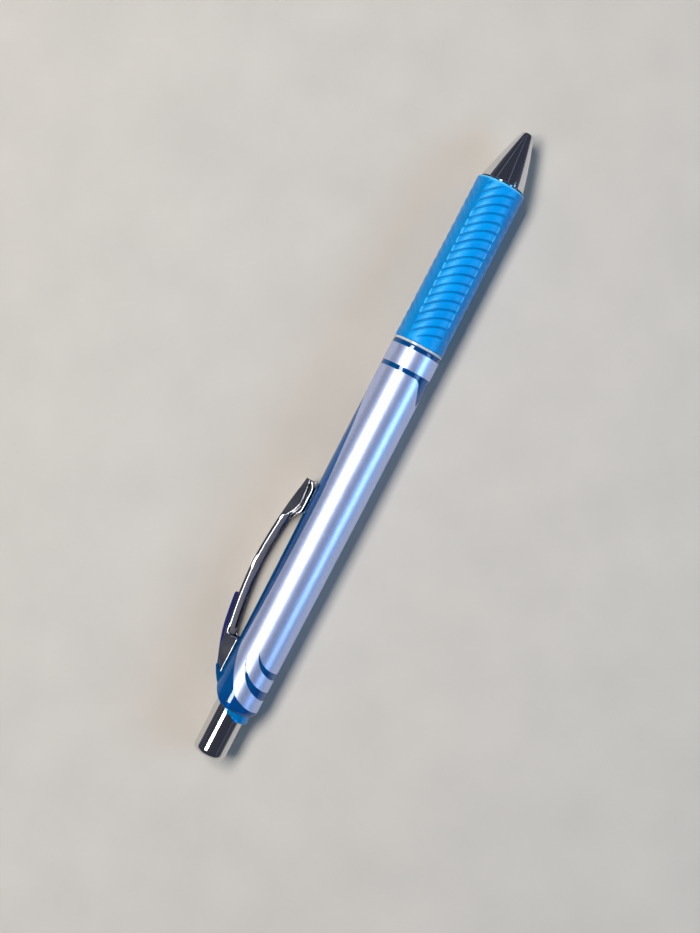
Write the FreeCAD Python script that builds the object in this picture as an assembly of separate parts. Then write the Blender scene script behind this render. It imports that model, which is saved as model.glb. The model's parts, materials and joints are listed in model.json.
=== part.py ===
import FreeCAD, Part
import math
import os

V = FreeCAD.Vector

# All sizes are in millimetres. The pen is drawn in its own pen frame, and only stood in the row frame at
# the end. s runs back along the axis from the nose cone's front face, h runs from the axis out to the clip,
# and w runs across the clip.

# ------------------------------------------------------------------ driving dimensions
LENGTH = 144.0              # nose cone's front face to the button's rear face, point drawn in
ROLL_DEG = 18.5             # how far the clip points below the horizontal when the pen lies on it
RUNNING_GAP = 0.08          # radial clearance of a sliding fit
SKIN_GAP = 0.01             # gap between two skins of one body, so that they never share volume

# nose cone
CONE_FRONT_R = 1.28
CONE_REAR_S = 11.7
CONE_REAR_R = 4.78
CONE_BELLY = (5.8, 3.22)    # a point on the convex outside, as s and radius
POINT_HOLE_R = 1.06
POINT_HOLE_END_S = 2.5
CONE_CAVITY_R = 1.95
SPRING_SEAT_S = 7.0
SPIGOT_R = 3.40
SPIGOT_BORE_R = 2.80
SPIGOT_END_S = 19.0

# barrel
BARREL_FRONT_S = 11.95
GRIP_SEAT_R = 4.35
FRONT_BORE_R = 3.45
SHOULDER_S = 49.75
BARREL_R = 5.36
TAPER_START_S = 84.0
BARREL_END_R = 5.15
BARREL_END_S = 133.1
END_ROUND = 1.5
REAR_BORE_R = 4.33
BORE_STEP_S = 53.0

# fin under the clip's root, and the slanting cut across the barrel's rear end
FIN_HALF_W = 2.85
TONGUE_HALF_W = 2.15
FIN_FRONT_S = 120.3
FIN_FLOOR_H = 4.0
TONGUE_FRONT_H = 7.05
TONGUE_REAR_H = 6.30
FIN_STEP_S = 124.65
FIN_TOP_H = 7.2
FIN_LENGTH = 12.4           # how far the fin would run back before the slanting cut takes its end
CUT_MIDDLE = (130.1, 4.0)
CUT_END = (134.3, -2.4)

# grip
GRIP_FRONT_S = 11.95
GRIP_REAR_S = 49.15
GRIP_FRONT_R = 5.36
GRIP_R = 5.50
GRIP_LIP = 0.6
RIB_PITCH = 2.0
RIB_GROOVE_W = 0.30
RIB_GROOVE_D = 0.22

# films
FILM_T = 0.04
BAND_START_S = 50.7
BAND_END_S = 54.8
FILM_START_S = 55.8

# clip
CLIP_FRONT_S = 83.8
CLIP_FRONT_H = 7.64
CLIP_FRONT_VIA = (94.0, 9.34)
CLIP_CROWN = (104.1, 10.0)
CLIP_REAR_VIA = (114.9, 9.0)
CLIP_ROOT_S = 124.3
CLIP_ROOT_H = 7.15
CLIP_HALF_W = 2.45
SHEET_T = 0.50
EDGE_TURN = 0.35            # how far the arm's long edges turn down towards the barrel
CHEEK_FRONT_S = 119.8
CHEEK_REAR_S = 127.5
CHEEK_LOW_H = 4.80
CHEEK_IN_W = 2.38
CHEEK_OUT_W = 2.83
CHEEK_ROUND = 1.1
CHEEK_POCKET_GAP = 0.35
PIVOT = (123.8, 5.85)       # where the clip's root is held, as s and h
PIVOT_R = 0.55
FOOT_H = 5.46
FOOT_HALF_W = 1.7
FLARE_LOW = (88.0, 6.26)    # lowest point of the flared side walls at the clip's free end, as s and h
COVER_T = 0.75
COVER_START_S = 111.4

# click mechanism
SLEEVE_R = 4.30
SLEEVE_START_S = 106.0
SLEEVE_END_S = 135.0
SLEEVE_BORE_R = 3.90
NECK_START_S = 131.0
NECK_R = 3.63
GUIDE_RIB_R = 3.00
GUIDE_RIB_START_S = 112.0
GUIDE_RIB_END_S = 115.6
GUIDE_RIB_W = 0.9
STEPS = 4                   # guide ribs round the sleeve
CROWN_TEETH = 8
CROWN_TOOTH_H = 1.0
BUTTON_R = NECK_R - RUNNING_GAP
BUTTON_WALL = 0.35
BUTTON_FRONT_S = 122.0
BUTTON_ROUND = 1.3

# refill
POINT_S = 2.05              # front of the writing ball, drawn in
BALL_R = 0.35
SOCKET_GAP = 0.02
MOUTH_S = POINT_S + 0.28    # front edge of the socket that holds the ball
TIP_SHANK_R = 0.98
TIP_TAPER = 2.6             # length of the tip's pointed part
TIP_COLLAR_S = 9.5
TIP_COLLAR_R = 1.3
TIP_COLLAR_W = 0.7
TIP_REAR_S = 14.0
TIP_BORE_R = 0.4
INK_CHANNEL_R = 0.15
HOLDER_FRONT_S = 10.25
HOLDER_NECK_R = 1.7         # the return spring slides over this neck
HOLDER_R = 2.60
HOLDER_BORE_R = 1.2
HOLDER_PLUG = 4.0           # how far the holder goes into the refill tube
REFILL_R = 3.00
REFILL_WALL = 0.42
REFILL_FRONT_S = 25.0
REFILL_REAR_S = 102.5
INK_END_S = 84.0
FOLLOWER_END_S = 89.0
SPRING_WIRE_R = 0.18
SPRING_COIL_R = 2.30
SPRING_TURNS = 9
SPRING_REAR_S = 19.0
SPRING_END_GAP = 0.02


# ------------------------------------------------------------------ drawing helpers
def at(s, h, w=0.0):
    """A point of the pen frame: the pen's front looks along +X, and the clip stands on +Z."""
    return V(-s, w, h)


def face(start, *steps):
    """A flat face in the clip's plane. A step is a point, or two points for an arc through the first."""
    edges = []
    here = start
    for step in steps + (start,):
        if isinstance(step[0], tuple):
            via, end = step
            edges.append(Part.Arc(at(*here), at(*via), at(*end)).toShape())
        else:
            end = step
            if end != here:
                edges.append(Part.LineSegment(at(*here), at(*end)).toShape())
        here = end
    return Part.Face(Part.Wire(edges))


def turned(start, *steps):
    """A solid turned about the pen's axis from a profile of (s, radius) points."""
    return face(start, *steps).revolve(V(0, 0, 0), V(1, 0, 0), 360)


def tube(s0, s1, outer_r, inner_r):
    return turned((s0, inner_r), (s0, outer_r), (s1, outer_r), (s1, inner_r))


def rod(s0, s1, radius):
    return turned((s0, 0), (s0, radius), (s1, radius), (s1, 0))


def slab(profile, w0, w1):
    """A face of the clip's plane given thickness across the clip, from w0 to w1."""
    moved = profile.copy()
    moved.translate(V(0, w0, 0))
    return moved.extrude(V(0, w1 - w0, 0))


def both_sides(profile, w0, w1):
    return slab(profile, w0, w1).fuse(slab(profile, -w1, -w0))


def spun(shape, angle_deg):
    copy = shape.copy()
    copy.rotate(V(0, 0, 0), V(1, 0, 0), angle_deg)
    return copy


def block(s0, s1, h0, h1, half_w):
    return Part.makeBox(s1 - s0, 2 * half_w, h1 - h0, V(-s1, -half_w, h0))


def barrel_r(s):
    """Outer radius of the barrel: straight behind the grip, then a slight taper to the rear."""
    run = max(0.0, (s - TAPER_START_S) / (BARREL_END_S - TAPER_START_S))
    return BARREL_R + run * (BARREL_END_R - BARREL_R)


def rear_cut():
    """Everything behind the slanting, curved rear end of the barrel and its collar."""
    far_s = LENGTH + 5
    far_h = 20.0
    low_h = CUT_END[1] - 1.0
    profile = face((FIN_STEP_S, FIN_TOP_H), (CUT_MIDDLE, CUT_END), (SLEEVE_END_S + 0.5, low_h),
                   (far_s, low_h), (far_s, far_h), (FIN_STEP_S, far_h))
    return slab(profile, -far_h, far_h)


# ------------------------------------------------------------------ nose
def nose_cone():
    """The cone round the point, with the spring's seat inside and a spigot that goes into the barrel."""
    return turned((0, POINT_HOLE_R), (0, CONE_FRONT_R), (CONE_BELLY, (CONE_REAR_S, CONE_REAR_R)),
                  (CONE_REAR_S, SPIGOT_R), (SPIGOT_END_S, SPIGOT_R), (SPIGOT_END_S, SPIGOT_BORE_R),
                  (SPRING_SEAT_S, SPIGOT_BORE_R), (SPRING_SEAT_S, CONE_CAVITY_R),
                  (POINT_HOLE_END_S + 0.8, CONE_CAVITY_R), (POINT_HOLE_END_S, POINT_HOLE_R))


# ------------------------------------------------------------------ barrel and what stays on it
def fin():
    """The raised shoulder that carries the clip: a narrow tongue between the cheeks, wider behind them."""
    rear_s = FIN_FRONT_S + FIN_LENGTH
    profile = face((FIN_FRONT_S, FIN_FLOOR_H), (FIN_FRONT_S, TONGUE_FRONT_H),
                   (FIN_STEP_S - 0.1, TONGUE_REAR_H), (FIN_STEP_S, FIN_TOP_H), (rear_s, FIN_TOP_H),
                   (rear_s, FIN_FLOOR_H))
    reach = CHEEK_IN_W + 0.15
    boss = Part.makeCylinder(PIVOT_R, 2 * reach, at(*PIVOT, -reach), V(0, 1, 0))
    return slab(profile, -FIN_HALF_W, FIN_HALF_W).cut(cheek_pockets()).fuse(boss)


def cheek_pockets():
    """Room beside the tongue for the clip's cheeks, deeper behind the pivot, where they dip."""
    gap = CHEEK_POCKET_GAP
    pocket = face((FIN_FRONT_S - 1, CHEEK_LOW_H - gap), (PIVOT[0], CHEEK_LOW_H - gap),
                  (CHEEK_REAR_S + 1.6 * gap, CHEEK_LOW_H - 1.7 * gap),
                  (CHEEK_REAR_S + 1.6 * gap, CHEEK_LOW_H),
                  (FIN_STEP_S + 1.6 * gap, FIN_TOP_H + 0.5), (FIN_FRONT_S - 1, 10.0))
    return both_sides(pocket, TONGUE_HALF_W, FIN_HALF_W + 1)


def main_barrel():
    end_s = BARREL_END_S
    shell = turned((BARREL_FRONT_S, FRONT_BORE_R), (BARREL_FRONT_S, GRIP_SEAT_R - 0.3),
                   (BARREL_FRONT_S + 0.3, GRIP_SEAT_R), (SHOULDER_S, GRIP_SEAT_R),
                   (SHOULDER_S, BARREL_R - 0.25),
                   (SHOULDER_S + 0.25, BARREL_R), (TAPER_START_S, BARREL_R),
                   (end_s - END_ROUND, barrel_r(end_s - END_ROUND)),
                   ((end_s - 0.3 * END_ROUND, BARREL_END_R - 0.3), (end_s, REAR_BORE_R + 0.1)),
                   (end_s, REAR_BORE_R), (BORE_STEP_S + 1.0, REAR_BORE_R), (BORE_STEP_S, FRONT_BORE_R))
    bore = rod(BORE_STEP_S + 2, LENGTH, REAR_BORE_R)
    boss_room = block(PIVOT[0] - 1, PIVOT[0] + 1, PIVOT[1] - 1, PIVOT[1] + 1, CHEEK_OUT_W + 1)
    pockets = cheek_pockets().cut(boss_room)
    return shell.cut(pockets).fuse(fin().cut(bore)).cut(rear_cut()).removeSplitter()


def grip_ring():
    return turned((GRIP_REAR_S + 0.03, GRIP_SEAT_R + SKIN_GAP), (GRIP_REAR_S + 0.03, GRIP_R - 0.12),
                  (GRIP_REAR_S + 0.15, GRIP_R - 0.04), (SHOULDER_S - 0.15, GRIP_R - 0.04),
                  (SHOULDER_S - 0.03, GRIP_R - 0.12), (SHOULDER_S - 0.03, GRIP_SEAT_R + SKIN_GAP))


def grip_sleeve():
    body = turned((GRIP_FRONT_S, GRIP_SEAT_R + SKIN_GAP), (GRIP_FRONT_S, GRIP_FRONT_R - GRIP_LIP),
                  ((GRIP_FRONT_S + 0.2 * GRIP_LIP, GRIP_FRONT_R - 0.2 * GRIP_LIP),
                   (GRIP_FRONT_S + GRIP_LIP, GRIP_FRONT_R)),
                  (GRIP_REAR_S - 0.2, GRIP_R), (GRIP_REAR_S, GRIP_R - 0.15),
                  (GRIP_REAR_S, GRIP_SEAT_R + SKIN_GAP))
    count = int((GRIP_REAR_S - GRIP_FRONT_S - 1.0) / RIB_PITCH)
    for k in range(count):
        s = GRIP_FRONT_S + RIB_PITCH * (k + 0.9)
        floor_r = GRIP_FRONT_R + (GRIP_R - GRIP_FRONT_R) * k / count - RIB_GROOVE_D
        body = body.cut(tube(s, s + RIB_GROOVE_W, GRIP_R + 1, floor_r))
    return body


def film(profile):
    """A thin skin on the barrel wherever the flat profile, seen from the side, covers it."""
    start, end = BAND_START_S - 5, BARREL_END_S - END_ROUND
    inner, outer = SKIN_GAP, SKIN_GAP + FILM_T
    skin = turned((start, BARREL_R + inner), (start, BARREL_R + outer), (TAPER_START_S, BARREL_R + outer),
                  (end, barrel_r(end) + outer), (end, barrel_r(end) + inner),
                  (TAPER_START_S, BARREL_R + inner))
    return skin.common(slab(profile, -10, 10))


def band_foil():
    return film(face((BAND_START_S, -9), (BAND_START_S, 9), (BAND_END_S, 9), (BAND_END_S, -9)))


def barrel_foil():
    """The long silver film, open beside the clip, with a notch opposite it and two crescents at the rear."""
    outline = face((FILM_START_S, -3.8), (FILM_START_S, 9), (60.5, 9), (60.8, 5.3),
                   ((66.0, 4.05), (72.0, 3.3)), ((79.0, 2.7), (86.0, 2.3)), ((108.0, 2.66), (120.0, 3.2)),
                   ((126.0, 1.31), (129.85, -1.19)), ((131.2, -3.6), (132.0, -9.0)), (64.5, -9.0),
                   (64.5, -5.34), ((58.4, -4.98), (FILM_START_S, -3.8)))
    far_notch = face((FILM_START_S - 1, -6.0), (FILM_START_S - 1, -0.5), ((61.5, -2.4), (76.0, -4.3)),
                     ((68.5, -5.1), (62.4, -5.5)), (62.4, -6.0))
    skin = film(outline).cut(slab(far_notch, 0, 10))
    for tip, rear, front in (((119.4, -1.5), (124.1, -5.2), (122.6, -5.2)),
                             ((121.6, 0.35), (128.8, -5.2), (126.9, -5.2))):
        rear_via = (tip[0] + 0.68 * (rear[0] - tip[0]), tip[1] + 0.42 * (rear[1] - tip[1]))
        front_via = (tip[0] + 0.72 * (front[0] - tip[0]), tip[1] + 0.46 * (front[1] - tip[1]))
        blade = face(tip, (rear_via, rear), (rear[0], -9), (front[0], -9), front, (front_via, tip))
        skin = skin.cut(slab(blade, -10, 10))
    return skin


# ------------------------------------------------------------------ clip
def clip_side(drop):
    """The clip's outer edge as two arcs, lowered by drop."""
    front = ((CLIP_FRONT_VIA[0], CLIP_FRONT_VIA[1] - drop), (CLIP_CROWN[0], CLIP_CROWN[1] - drop))
    rear = ((CLIP_REAR_VIA[0], CLIP_REAR_VIA[1] - drop), (CLIP_ROOT_S, CLIP_ROOT_H - drop))
    return front, rear


def clip_band(drop0, drop1):
    """The strip between the clip's outer edge lowered by drop0 and the same edge lowered by drop1."""
    front, rear = clip_side(drop0)
    low_front, low_rear = clip_side(drop1)
    return face((CLIP_FRONT_S, CLIP_FRONT_H - drop0), front, rear, (CLIP_ROOT_S, CLIP_ROOT_H - drop1),
                (low_rear[0], low_front[1]), (low_front[0], (CLIP_FRONT_S, CLIP_FRONT_H - drop1)))


def pocket_clip():
    arm = slab(clip_band(0, SHEET_T), -CLIP_HALF_W, CLIP_HALF_W)
    edges = slab(clip_band(0.1, SHEET_T + EDGE_TURN), -CLIP_HALF_W, CLIP_HALF_W)
    edges = edges.cut(block(CLIP_FRONT_S, LENGTH, 0, 20, CLIP_HALF_W - SHEET_T))
    edges = edges.cut(block(CHEEK_FRONT_S + 0.2, LENGTH, 0, 20, CLIP_HALF_W + 1))
    flare = face((CLIP_FRONT_S, CLIP_FRONT_H), (CLIP_FRONT_S + 0.1, 6.75), FLARE_LOW,
                 ((91.3, 7.1), (92.9, 8.3)), (92.9, 8.95))
    foot = face((CLIP_FRONT_S + 0.3, 7.4), (CLIP_FRONT_S + 0.3, 6.4), ((84.9, 5.75), (86.3, FOOT_H)),
                (89.9, FOOT_H), ((91.2, 5.9), (91.8, 7.0)), (91.8, 8.65))
    cheek = face((CHEEK_FRONT_S, CHEEK_LOW_H), (CHEEK_FRONT_S, 7.0),
                 ((CHEEK_FRONT_S - 0.3 * CHEEK_ROUND, 7.4), (CHEEK_FRONT_S - CHEEK_ROUND, 7.65)),
                 (CHEEK_FRONT_S - CHEEK_ROUND, 8.1), (CLIP_ROOT_S, CLIP_ROOT_H - 0.02),
                 (CLIP_ROOT_S + 0.4, CLIP_ROOT_H - 0.25), (CHEEK_REAR_S, CHEEK_LOW_H))
    shelf = face((CHEEK_FRONT_S - CHEEK_ROUND, 8.1), (CLIP_ROOT_S, CLIP_ROOT_H - 0.02),
                 (CLIP_ROOT_S, CLIP_ROOT_H - SHEET_T), (CHEEK_FRONT_S - CHEEK_ROUND, 8.1 - SHEET_T))
    body = arm.fuse(edges)
    body = body.fuse(both_sides(flare, CLIP_HALF_W - SHEET_T, CLIP_HALF_W))
    body = body.fuse(slab(foot, -FOOT_HALF_W, FOOT_HALF_W))
    body = body.fuse(slab(shelf, -CHEEK_OUT_W, CHEEK_OUT_W))
    body = body.fuse(both_sides(cheek, CHEEK_IN_W, CHEEK_OUT_W))
    reach = CHEEK_IN_W + 0.25
    socket = Part.makeCylinder(PIVOT_R + RUNNING_GAP, 2 * reach, at(*PIVOT, -reach), V(0, 1, 0))
    return body.cut(socket).removeSplitter()


def clip_cover():
    """The translucent strip that lies along the clip's root, thinning to nothing at the rear."""
    blank = slab(clip_band(-COVER_T, -SKIN_GAP), -CLIP_HALF_W + 0.12, CLIP_HALF_W - 0.12)
    top = face((COVER_START_S, 9.0), (COVER_START_S, 9.95), (COVER_START_S + 0.5, 10.25),
               ((118.4, 9.22), (CLIP_ROOT_S, 7.32)), (CLIP_ROOT_S, 6.5))
    return blank.common(slab(top, -CLIP_HALF_W, CLIP_HALF_W))


# ------------------------------------------------------------------ click mechanism
def crown_notches(face_s, depth, mid_r, lean):
    """Wedges that leave teeth on a tube's end. A negative depth cuts rearwards; lean slants the teeth."""
    half = mid_r * math.tan(math.pi / CROWN_TEETH)
    profile = Part.makePolygon([V(-face_s, -half, 0), V(-face_s, half, 0),
                                V(-face_s + depth, lean * half, 0), V(-face_s, -half, 0)])
    wedge = Part.Face(profile).extrude(V(0, 0, 2 * mid_r))
    return Part.Compound([spun(wedge, 360.0 * k / CROWN_TEETH) for k in range(CROWN_TEETH)])


def guide_sleeve():
    body = turned((SLEEVE_START_S, SLEEVE_BORE_R), (SLEEVE_START_S, SLEEVE_R), (SLEEVE_END_S - 0.5, SLEEVE_R),
                  ((SLEEVE_END_S - 0.15, SLEEVE_R - 0.15), (SLEEVE_END_S, SLEEVE_R - 0.45)),
                  (SLEEVE_END_S, NECK_R), (NECK_START_S, NECK_R), (NECK_START_S, SLEEVE_BORE_R))
    ring = tube(GUIDE_RIB_START_S, GUIDE_RIB_END_S, SLEEVE_BORE_R + 0.1, GUIDE_RIB_R)
    bar = block(GUIDE_RIB_START_S, GUIDE_RIB_END_S, 0, SLEEVE_R, GUIDE_RIB_W / 2)
    for k in range(STEPS):
        body = body.fuse(ring.common(spun(bar, 360.0 * k / STEPS)))
    return body.cut(rear_cut()).removeSplitter()


def thrust_tube():
    """The tube behind the cam: toothed at its front, lugs in the sleeve, the button pressed over it."""
    front_s, rear_s = GUIDE_RIB_END_S + 0.7, LENGTH - 4.0
    step_s = BUTTON_FRONT_S + 0.3
    plug_r = BUTTON_R - BUTTON_WALL - SKIN_GAP
    lug_r = SLEEVE_BORE_R - 0.06
    body = turned((front_s, 1.4), (front_s, 2.8), (step_s, 2.8), (step_s, plug_r), (rear_s, plug_r),
                  (rear_s, 2.0), (front_s + 3.0, 2.0), (front_s + 3.0, 1.4))
    lug = block(front_s + 0.9, front_s + 2.9, 0, lug_r, 0.5)
    ring = tube(front_s + 0.9, front_s + 2.9, lug_r, 2.7)
    for k in range(STEPS):
        body = body.fuse(ring.common(spun(lug, 360.0 * (k + 0.5) / STEPS)))
    return body.cut(crown_notches(front_s, -CROWN_TOOTH_H, 2.1, 0.0))


def rotary_cam():
    """The cam between the refill and the thrust tube, whose fins run beside the sleeve's guide ribs."""
    front_s, rear_s = REFILL_REAR_S + 1.7, GUIDE_RIB_END_S + 0.5
    body = turned((front_s, 0), (front_s, 1.9), (front_s + 0.4, 2.3), (rear_s, 2.3), (rear_s, 1.0),
                  (rear_s - 4.0, 1.0), (rear_s - 4.0, 0))
    fin_start, fin_end = GUIDE_RIB_START_S - 3.0, GUIDE_RIB_START_S + 3.0
    ring = tube(fin_start, fin_end, SLEEVE_BORE_R - 0.1, 2.2)
    blade = block(fin_start, fin_end, 0, SLEEVE_R, 0.45)
    for k in range(STEPS):
        body = body.fuse(ring.common(spun(blade, 360.0 * (k + 0.5) / STEPS)))
    return body.cut(crown_notches(rear_s, CROWN_TOOTH_H, 1.65, 0.95))


def knock_button():
    """A thin cap, open at the front."""
    inner_r, flat_r = BUTTON_R - BUTTON_WALL, BUTTON_R - BUTTON_ROUND
    bulge = BUTTON_ROUND * (1 - math.sqrt(0.5))
    return turned((BUTTON_FRONT_S, inner_r), (BUTTON_FRONT_S, BUTTON_R), (LENGTH - BUTTON_ROUND, BUTTON_R),
                  ((LENGTH - bulge, BUTTON_R - bulge), (LENGTH, flat_r)), (LENGTH, 0), (LENGTH - 0.5, 0),
                  (LENGTH - 0.5, flat_r - 0.1), (LENGTH - BUTTON_ROUND - 0.3, inner_r))


# ------------------------------------------------------------------ refill
def writing_ball():
    ball = Part.makeSphere(BALL_R)
    ball.translate(at(POINT_S + BALL_R, 0))
    return ball


def refill_tip():
    body = turned((MOUTH_S, 0), (MOUTH_S, BALL_R + 0.07), (MOUTH_S + TIP_TAPER, TIP_SHANK_R),
                  (TIP_COLLAR_S, TIP_SHANK_R), (TIP_COLLAR_S, TIP_COLLAR_R),
                  (TIP_COLLAR_S + TIP_COLLAR_W, TIP_COLLAR_R),
                  (TIP_COLLAR_S + TIP_COLLAR_W, TIP_SHANK_R - 0.1), (TIP_REAR_S, TIP_SHANK_R - 0.1),
                  (TIP_REAR_S, TIP_BORE_R), (MOUTH_S + 1.6, TIP_BORE_R), (MOUTH_S + 1.6, INK_CHANNEL_R),
                  (MOUTH_S + 1.0, INK_CHANNEL_R), (MOUTH_S + 1.0, 0))
    socket = Part.makeSphere(BALL_R + SOCKET_GAP)
    socket.translate(at(POINT_S + BALL_R, 0))
    return body.cut(socket).cut(rod(MOUTH_S, MOUTH_S + 1.6, INK_CHANNEL_R))


def tip_holder():
    """Joins the tip to the refill tube, and its shoulder takes the return spring."""
    grip_r = TIP_SHANK_R - 0.08
    plug_r = REFILL_R - REFILL_WALL - SKIN_GAP
    front_s, step_s, rear_s = HOLDER_FRONT_S, REFILL_FRONT_S - SKIN_GAP, REFILL_FRONT_S + HOLDER_PLUG
    return turned((front_s, grip_r), (front_s, HOLDER_NECK_R), (SPRING_REAR_S, HOLDER_NECK_R),
                  (SPRING_REAR_S, HOLDER_R), (step_s, HOLDER_R), (step_s, plug_r), (rear_s, plug_r),
                  (rear_s, HOLDER_BORE_R), (TIP_REAR_S + 0.1, HOLDER_BORE_R), (TIP_REAR_S + 0.1, grip_r))


def refill_tube():
    return tube(REFILL_FRONT_S, REFILL_REAR_S, REFILL_R, REFILL_R - REFILL_WALL)


def gel_ink():
    return rod(REFILL_FRONT_S + HOLDER_PLUG + 0.02, INK_END_S, REFILL_R - REFILL_WALL - SKIN_GAP)


def ink_follower():
    return rod(INK_END_S + 0.02, FOLLOWER_END_S, REFILL_R - REFILL_WALL - SKIN_GAP)


def refill_tail_plug():
    """Closes the refill's rear, with a vent hole, and the cam pushes on it."""
    front_s, step_s, rear_s = REFILL_REAR_S - 3.0, REFILL_REAR_S + 0.02, REFILL_REAR_S + 1.2
    inner_r = REFILL_R - REFILL_WALL - SKIN_GAP
    return turned((front_s, 0.6), (front_s, inner_r), (step_s, inner_r), (step_s, REFILL_R),
                  (rear_s, REFILL_R - 0.4), (rear_s, 0.6))


def half_ring(start, middle, axis):
    """The skin of a half turn of wire, from start round middle about axis."""
    return Part.Edge(Part.Circle(start, V(0, 1, 0), SPRING_WIRE_R)).revolve(middle, axis, 180)


def return_spring():
    """A coil spring from the nose cone's seat to the tip holder's shoulder. Each turn is a level half and
    a climbing half ring, which meet in one direction."""
    front_s = SPRING_SEAT_S + SPRING_WIRE_R + SPRING_END_GAP
    rear_s = SPRING_REAR_S - SPRING_WIRE_R - SPRING_END_GAP
    pitch = (rear_s - front_s) / SPRING_TURNS
    skins = []
    for turn in range(SPRING_TURNS):
        z = turn * pitch
        skins.append(half_ring(V(SPRING_COIL_R, 0, z), V(0, 0, z), V(0, 0, 1)))
        skins.append(half_ring(V(-SPRING_COIL_R, 0, z), V(0, 0, z + pitch / 2),
                               V(-pitch / 2, 0, SPRING_COIL_R)))
    for z in (0, rear_s - front_s):
        end = Part.Circle(V(SPRING_COIL_R, 0, z), V(0, 1, 0), SPRING_WIRE_R)
        skins.append(Part.Face(Part.Wire(end.toShape())))
    skin = Part.Compound(skins)
    skin.sewShape(0.001)
    coil = Part.makeSolid(skin.Shells[0])
    if coil.Volume < 0:
        coil.reverse()
    coil.rotate(V(0, 0, 0), V(0, 1, 0), 90)
    coil.translate(at(rear_s, 0))
    return coil


NODES = {
    "nose_cone": nose_cone,
    "main_barrel": main_barrel,
    "grip_ring": grip_ring,
    "grip_sleeve": grip_sleeve,
    "band_foil": band_foil,
    "barrel_foil": barrel_foil,
    "pocket_clip": pocket_clip,
    "clip_cover": clip_cover,
    "guide_sleeve": guide_sleeve,
    "thrust_tube": thrust_tube,
    "rotary_cam": rotary_cam,
    "knock_button": knock_button,
    "writing_ball": writing_ball,
    "refill_tip": refill_tip,
    "tip_holder": tip_holder,
    "refill_tube": refill_tube,
    "gel_ink": gel_ink,
    "ink_follower": ink_follower,
    "refill_tail_plug": refill_tail_plug,
    "return_spring": return_spring,
}


def main():
    os.makedirs("parts", exist_ok=True)
    shapes = {name: make() for name, make in NODES.items()}
    for shape in shapes.values():
        shape.rotate(V(0, 0, 0), V(1, 0, 0), -(90 + ROLL_DEG))
    box = Part.Compound(list(shapes.values())).optimalBoundingBox(False, False)
    shift = V(LENGTH / 2, -(box.YMin + box.YMax) / 2, -box.ZMin)
    for name, shape in shapes.items():
        shape.translate(shift)
        solids = shape.Solids
        print(name, "solids", len(solids), "valid", shape.isValid(), "mm3", round(shape.Volume, 3))
        (solids[0] if len(solids) == 1 else Part.Compound(solids)).exportStep(f"parts/{name}.step")
    print("pen axis at y", round(shift.y, 4), "z", round(shift.z, 4))
    print("box", [round(v, 3) for v in (box.XLength, box.YLength, box.ZLength)])
    turn = math.radians(ROLL_DEG)
    s, h = PIVOT
    print("clip pivot", round(shift.x - s, 4), round(shift.y + h * math.cos(turn), 4),
          round(shift.z - h * math.sin(turn), 4))
    print("clip direction", 0, round(math.cos(turn), 6), round(-math.sin(turn), 6))


main()
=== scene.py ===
import json
import math

import bmesh
import bpy
from mathutils import Matrix, Vector


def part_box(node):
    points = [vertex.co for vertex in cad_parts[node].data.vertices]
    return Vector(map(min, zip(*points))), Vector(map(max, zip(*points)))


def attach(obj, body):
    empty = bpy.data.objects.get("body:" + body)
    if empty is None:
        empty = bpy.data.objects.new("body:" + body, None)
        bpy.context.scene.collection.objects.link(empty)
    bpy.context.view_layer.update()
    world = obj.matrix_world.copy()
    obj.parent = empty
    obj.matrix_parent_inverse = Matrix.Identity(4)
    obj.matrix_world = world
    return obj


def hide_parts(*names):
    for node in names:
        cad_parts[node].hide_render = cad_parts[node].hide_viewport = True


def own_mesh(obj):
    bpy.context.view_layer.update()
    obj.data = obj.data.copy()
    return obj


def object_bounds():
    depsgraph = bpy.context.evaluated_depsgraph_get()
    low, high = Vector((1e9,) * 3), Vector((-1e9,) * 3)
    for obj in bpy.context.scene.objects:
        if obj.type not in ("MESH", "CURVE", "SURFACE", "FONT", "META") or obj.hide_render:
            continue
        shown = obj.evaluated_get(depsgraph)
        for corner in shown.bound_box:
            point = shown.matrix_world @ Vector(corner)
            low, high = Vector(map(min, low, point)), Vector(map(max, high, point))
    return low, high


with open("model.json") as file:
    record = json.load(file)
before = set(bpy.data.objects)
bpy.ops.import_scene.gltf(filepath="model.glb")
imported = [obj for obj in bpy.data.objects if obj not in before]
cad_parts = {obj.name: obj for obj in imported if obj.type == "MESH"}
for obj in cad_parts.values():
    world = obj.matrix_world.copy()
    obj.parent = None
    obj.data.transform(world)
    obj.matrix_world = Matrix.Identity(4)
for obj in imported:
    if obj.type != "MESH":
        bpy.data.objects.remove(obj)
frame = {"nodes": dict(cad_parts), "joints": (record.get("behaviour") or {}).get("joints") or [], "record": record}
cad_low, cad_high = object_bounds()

# The looks of a push-button gel pen. Shapes are drawn in the pen frame in millimetres and then placed on the
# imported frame, which is in metres. s runs back along the pen from the nose cone's front face, h runs from the
# pen's axis out to the clip, and w runs across the clip. A direction round the axis is an angle in degrees from
# the clip, growing towards the side of the pen that lies uppermost.

# ------------------------------------------------------------------ the pen frame, from the record
MM = 0.001
JOINTS = {joint["name"]: joint for joint in frame["joints"]}
MOUNTS = {mount["name"]: mount for mount in frame["record"]["mounts"]}
FRONT_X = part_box("nose_cone")[1].x
AXIS_Y, AXIS_Z = MOUNTS["barrel"]["pos_m"][1:]
UP_SIDE = Vector(JOINTS["clip_flex"]["axis"]).normalized()
CLIP_SIDE = UP_SIDE.cross(Vector((1, 0, 0)))
PEN = Matrix(((MM, 0, 0, FRONT_X),
              (0, -MM * UP_SIDE.y, MM * CLIP_SIDE.y, AXIS_Y),
              (0, -MM * UP_SIDE.z, MM * CLIP_SIDE.z, AXIS_Z),
              (0, 0, 0, 1)))
TOP_ANGLE = math.degrees(math.atan2(UP_SIDE.z, CLIP_SIDE.z))     # the direction that lies uppermost

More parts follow.
